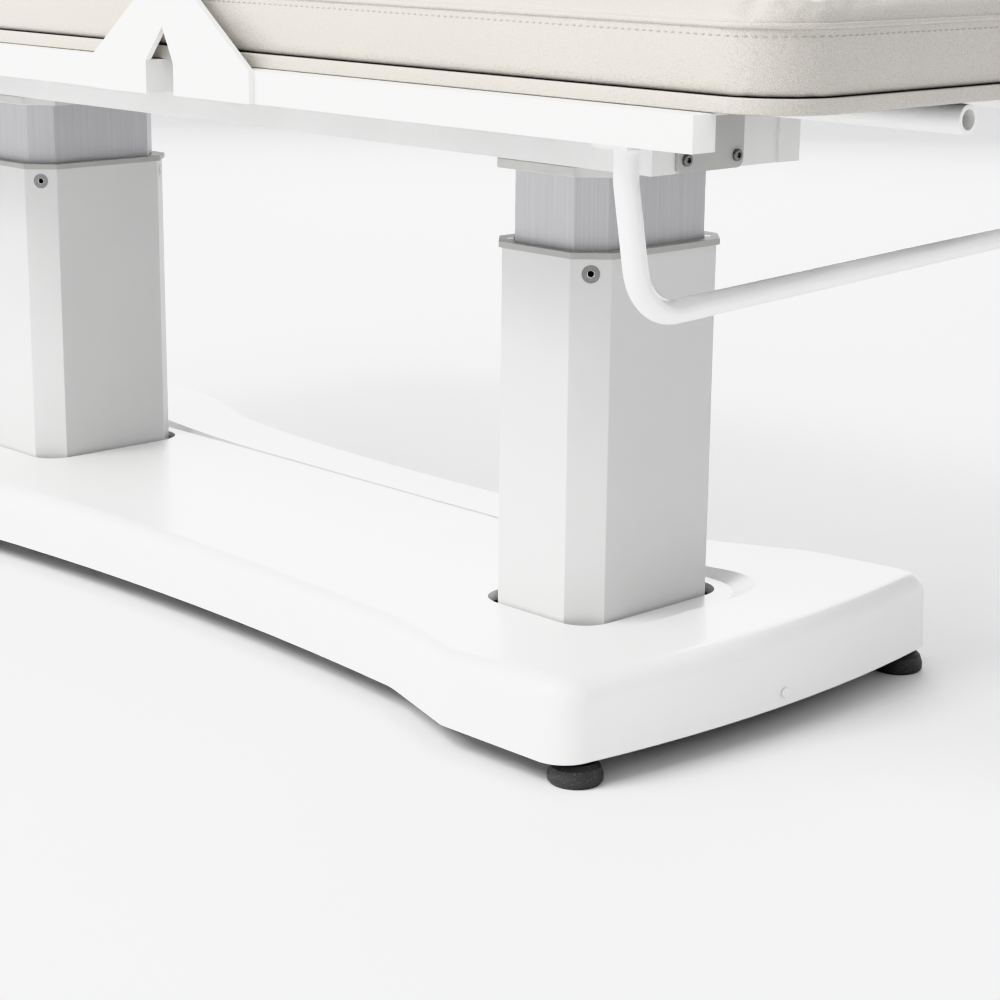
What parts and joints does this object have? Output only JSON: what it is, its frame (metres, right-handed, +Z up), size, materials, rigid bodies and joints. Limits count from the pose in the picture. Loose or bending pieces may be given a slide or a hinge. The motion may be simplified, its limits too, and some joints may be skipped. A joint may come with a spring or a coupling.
{
  "type": "massage table",
  "caption": "Electric height-adjustable massage table: twin lifting columns on a moulded base, tilting back and leg sections, face opening and paper-roll bar.",
  "frame": {"origin": "on the floor under the middle of the table", "axes": "+X towards the head end, +Y to the left side of a person lying face up, +Z up"},
  "size_m": [1.9, 0.756, 0.702],
  "materials": {
    "chassis_steel": "black powder coat",
    "cover_shell": "glossy white moulding",
    "column_outer": "satin light warm grey",
    "column_inner": "anodised, fine vertical brushing",
    "collar_grey": "grey-beige satin",
    "steel_plate": "zinc plated",
    "fastener": "stainless",
    "glide_plastic": "low-friction plastic",
    "drive_metal": "cast housing",
    "brass_nut": "machined",
    "foot_rubber": "speckled black rubber",
    "frame_white": "white powder coat",
    "bracket_grey": "dark grey satin",
    "box_grey": "fine-grained dark grey",
    "board": "birch board",
    "upholstery": "soft off-white synthetic leather over foam",
    "tube_white": "glossy white powder coat"
  },
  "bodies": {
    "base": {"base_chassis": "chassis_steel", "base_cover": "cover_shell", "cover_screws": "cover_shell", "mains_inlet": "box_grey", "column_plate_head": "chassis_steel", "column_plate_foot": "chassis_steel", "column_plate_bolts": "fastener", "gear_motor_head": "drive_metal", "gear_motor_foot": "drive_metal", "outer_tube_head": "column_outer", "outer_tube_foot": "column_outer", "tube_screws": "fastener", "collar_head": "collar_grey", "collar_foot": "collar_grey", "collar_screws": "fastener", "upper_glide_head": "glide_plastic", "upper_glide_foot": "glide_plastic"},
    "lift": {"inner_tube_head": "column_inner", "inner_tube_foot": "column_inner", "lower_glide_head": "glide_plastic", "lower_glide_foot": "glide_plastic", "spindle_nut_head": "brass_nut", "spindle_nut_foot": "brass_nut", "top_plate_head": "collar_grey", "top_plate_foot": "collar_grey", "top_plate_bolts": "fastener", "lift_frame": "frame_white", "end_bracket": "bracket_grey", "end_bracket_screws": "fastener", "rest_bumpers": "foot_rubber", "control_box": "box_grey", "seat_frame": "frame_white", "seat_panel": "board", "seat_pad": "upholstery", "back_actuator": "box_grey", "leg_actuator": "box_grey"},
    "spindle_head": {"spindle_head": "steel_plate"},
    "spindle_foot": {"spindle_foot": "steel_plate"},
    "back_section": {"back_frame": "frame_white", "cradle_sockets": "frame_white", "back_panel": "board", "back_pad": "upholstery", "back_hinge_pins": "fastener", "roll_holder": "tube_white", "roll_sockets": "frame_white", "thumb_screws": "box_grey"},
    "leg_section": {"leg_frame": "frame_white", "leg_panel": "board", "leg_pad": "upholstery", "leg_hinge_pins": "fastener"},
    "back_rod": {"back_rod": "steel_plate"},
    "leg_rod": {"leg_rod": "steel_plate"},
    "levelling_head_left": {"levelling_pad_head_left": "foot_rubber", "levelling_stud_head_left": "fastener"},
    "levelling_head_right": {"levelling_pad_head_right": "foot_rubber", "levelling_stud_head_right": "fastener"},
    "levelling_foot_left": {"levelling_pad_foot_left": "foot_rubber", "levelling_stud_foot_left": "fastener"},
    "levelling_foot_right": {"levelling_pad_foot_right": "foot_rubber", "levelling_stud_foot_right": "fastener"}
  },
  "joints": [
    {"name": "lift_slide", "type": "slide", "parent": "base", "child": "lift", "axis": [0, 0, 1], "range_m": [-0.068, 0.18]},
    {"name": "spindle_head_turn", "type": "hinge", "parent": "base", "child": "spindle_head", "pos_m": [0.4533, 0, 0.2], "axis": [0, 0, 1], "range_deg": [-1240, 3260]},
    {"name": "spindle_foot_turn", "type": "hinge", "parent": "base", "child": "spindle_foot", "pos_m": [-0.4533, 0, 0.2], "axis": [0, 0, 1], "range_deg": [-1240, 3260]},
    {"name": "back_tilt", "type": "hinge", "parent": "lift", "child": "back_section", "pos_m": [0.252, 0, 0.682], "axis": [0, -1, 0], "range_deg": [0, 60]},
    {"name": "leg_tilt", "type": "hinge", "parent": "lift", "child": "leg_section", "pos_m": [-0.3, 0, 0.682], "axis": [0, 1, 0], "range_deg": [0, 35]},
    {"name": "back_rod_slide", "type": "slide", "parent": "lift", "child": "back_rod", "axis": [1, 0, 0], "range_m": [0, 0.1444]},
    {"name": "leg_rod_slide", "type": "slide", "parent": "lift", "child": "leg_rod", "axis": [-1, 0, 0], "range_m": [0, 0.0789]},
    {"name": "levelling_head_left_screw", "type": "slide", "parent": "base", "child": "levelling_head_left", "axis": [0, 0, 1], "range_m": [-0.012, 0]},
    {"name": "levelling_head_right_screw", "type": "slide", "parent": "base", "child": "levelling_head_right", "axis": [0, 0, 1], "range_m": [-0.012, 0]},
    {"name": "levelling_foot_left_screw", "type": "slide", "parent": "base", "child": "levelling_foot_left", "axis": [0, 0, 1], "range_m": [-0.012, 0]},
    {"name": "levelling_foot_right_screw", "type": "slide", "parent": "base", "child": "levelling_foot_right", "axis": [0, 0, 1], "range_m": [-0.012, 0]}
  ],
  "couplings": [
    {"joint": "spindle_head_turn", "follows": "lift_slide", "rad_per_m": 314.16},
    {"joint": "spindle_foot_turn", "follows": "lift_slide", "rad_per_m": 314.16},
    {"joint": "back_rod_slide", "follows": "back_tilt", "m_per_rad": 0.13783},
    {"joint": "leg_rod_slide", "follows": "leg_tilt", "m_per_rad": 0.12904}
  ]
}
